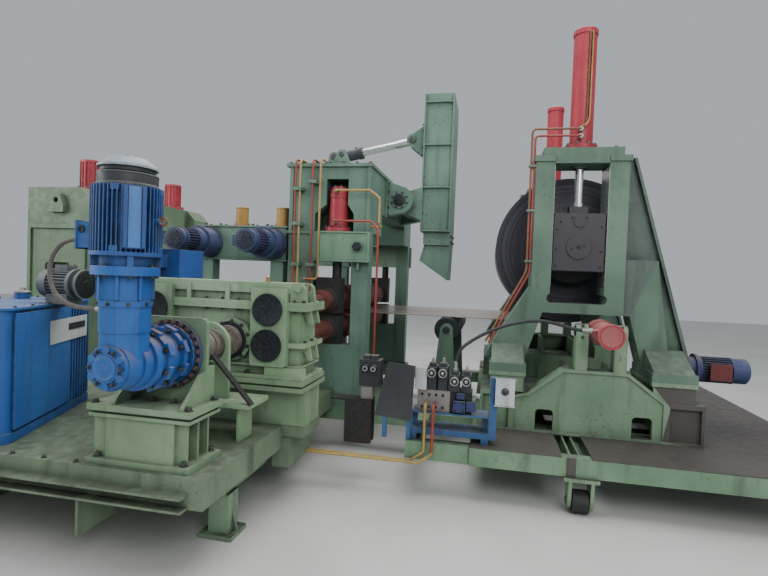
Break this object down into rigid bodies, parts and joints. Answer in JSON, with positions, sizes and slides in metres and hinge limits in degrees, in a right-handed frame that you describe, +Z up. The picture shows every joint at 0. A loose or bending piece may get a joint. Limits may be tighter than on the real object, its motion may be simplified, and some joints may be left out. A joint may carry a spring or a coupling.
{
  "type": "spiral pipe mill entry section",
  "caption": "Entry section of a spiral pipe mill: coil between lifting cone heads, opening arm, pinch roll stand with gear case and drive, leveller and oil unit on a bridge.",
  "frame": {"origin": "middle of the bottom of the whole machine, on the floor", "axes": "+X along the strip towards the coil, +Y across it towards the far side, +Z up"},
  "size_m": [6.96, 5.291, 3.497],
  "materials": {
    "machine_blue": "satin, dusty",
    "machine_green": "satin, worn and rusty at edges",
    "light_green": "satin",
    "base_green": "satin, oily",
    "head_green": "gloss, dusty",
    "cylinder_red": "gloss",
    "post_yellow": "worn",
    "gear_grey": "satin, dusty",
    "deck_steel": "rolled, dirty",
    "coil_steel": "rolled, dark scale",
    "strip_steel": "rolled",
    "roll_steel": "ground",
    "chrome_rod": "polished",
    "cast_dark": "cast",
    "valve_black": "matt"
  },
  "bodies": {
    "base": {"arm_brackets": "machine_green", "base_gear_motor": "machine_blue", "bevel_case": "machine_blue", "bridge_feet": "base_green", "bridge_frame": "base_green", "deck_plates": "deck_steel", "drive_coupling": "cast_dark", "drive_motor": "machine_blue", "drive_pedestal": "machine_green", "gear_case": "gear_grey", "gear_case_cover": "gear_grey", "gear_plinth": "machine_green", "head_bases": "head_green", "head_frame_rear": "head_green", "left_cylinders": "cylinder_red", "left_housings": "light_green", "leveller_frame": "machine_green", "leveller_gear_motors": "machine_blue", "leveller_rolls": "roll_steel", "lift_cylinder_rear": "cylinder_red", "lower_chocks": "cast_dark", "motor_conduit": "gear_grey", "oil_pipes": "post_yellow", "oil_tank": "machine_blue", "planetary_gear": "machine_blue", "platform": "base_green", "pump_motor": "cast_dark", "roller_yokes": "base_green", "screwdown_cylinders": "cylinder_red", "stand_crossbeams": "light_green", "stand_housings": "machine_green", "stand_top_plate": "machine_green", "strip": "strip_steel", "support_brackets": "machine_green", "traverse_cylinders": "cylinder_red", "traverse_hose": "valve_black", "valve_manifold": "post_yellow", "valve_stand": "machine_blue"},
    "bridge_wheel_front": {"bridge_roller_front": "roll_steel"},
    "bridge_wheel_rear": {"bridge_roller_rear": "roll_steel"},
    "front_head": {"head_frame_front": "head_green", "lift_cylinder_front": "cylinder_red", "traverse_rod_front": "chrome_rod"},
    "front_block": {"slide_block_front": "head_green", "lift_rod_front": "chrome_rod"},
    "front_cone": {"cone_front": "roll_steel"},
    "rear_block": {"slide_block_rear": "head_green", "lift_rod_rear": "chrome_rod"},
    "coil_and_cone": {"coil": "coil_steel", "cone_rear": "roll_steel"},
    "arm": {"opening_arm": "machine_green"},
    "arm_barrel": {"arm_cylinder": "cylinder_red"},
    "arm_piston": {"arm_rod": "chrome_rod"},
    "upper_chock_pair": {"upper_chocks": "cast_dark"},
    "upper_pinch_roll": {"upper_roll": "roll_steel"},
    "lower_pinch_roll": {"lower_roll": "roll_steel"},
    "strip_roller": {"support_roller": "roll_steel"}
  },
  "joints": [
    {"name": "bridge_wheel_front_spin", "type": "hinge", "parent": "base", "child": "bridge_wheel_front", "pos_m": [1.725, -1.02, 0.075], "axis": [1, 0, 0], "continuous": true},
    {"name": "bridge_wheel_rear_spin", "type": "hinge", "parent": "base", "child": "bridge_wheel_rear", "pos_m": [1.725, 2.59, 0.075], "axis": [1, 0, 0], "continuous": true},
    {"name": "front_traverse", "type": "slide", "parent": "base", "child": "front_head", "axis": [0, -1, 0], "range_m": [0, 0.3]},
    {"name": "front_lift", "type": "slide", "parent": "front_head", "child": "front_block", "axis": [0, 0, 1], "range_m": [0, 0.3]},
    {"name": "rear_lift", "type": "slide", "parent": "base", "child": "rear_block", "axis": [0, 0, 1], "range_m": [0, 0.3]},
    {"name": "coil_spin", "type": "hinge", "parent": "rear_block", "child": "coil_and_cone", "pos_m": [1.76, 0.785, 1.7703], "axis": [0, 1, 0], "continuous": true},
    {"name": "front_cone_spin", "type": "hinge", "parent": "front_block", "child": "front_cone", "pos_m": [1.76, 0.785, 1.7703], "axis": [0, 1, 0], "continuous": true},
    {"name": "arm_swing", "type": "hinge", "parent": "base", "child": "arm", "pos_m": [0.219, 0.785, 2.219], "axis": [0, -1, 0], "range_deg": [0, 18]},
    {"name": "arm_barrel_tilt", "type": "hinge", "parent": "base", "child": "arm_barrel", "pos_m": [-0.572, 0.785, 2.72], "axis": [0, -1, 0], "range_deg": [0, 2.4]},
    {"name": "arm_rod_slide", "type": "slide", "parent": "arm_barrel", "child": "arm_piston", "axis": [0.9785, 0, 0.2061], "range_m": [-0.21, 0]},
    {"name": "chock_lift", "type": "slide", "parent": "base", "child": "upper_chock_pair", "axis": [0, 0, 1], "range_m": [0, 0.025]},
    {"name": "upper_roll_spin", "type": "hinge", "parent": "upper_chock_pair", "child": "upper_pinch_roll", "pos_m": [-0.262, 0.785, 1.2673], "axis": [0, 1, 0], "continuous": true},
    {"name": "lower_roll_spin", "type": "hinge", "parent": "base", "child": "lower_pinch_roll", "pos_m": [-0.262, 0.785, 1.0127], "axis": [0, 1, 0], "continuous": true},
    {"name": "support_roller_spin", "type": "hinge", "parent": "base", "child": "strip_roller", "pos_m": [0.73, 0.785, 1.0197], "axis": [0, 1, 0], "continuous": true}
  ],
  "couplings": [
    {"joint": "front_lift", "follows": "rear_lift", "ratio": 1},
    {"joint": "front_cone_spin", "follows": "coil_spin", "ratio": 1},
    {"joint": "arm_barrel_tilt", "follows": "arm_swing", "ratio": 0.13},
    {"joint": "arm_rod_slide", "follows": "arm_swing", "m_per_rad": -0.664},
    {"joint": "upper_roll_spin", "follows": "lower_roll_spin", "ratio": -1}
  ]
}
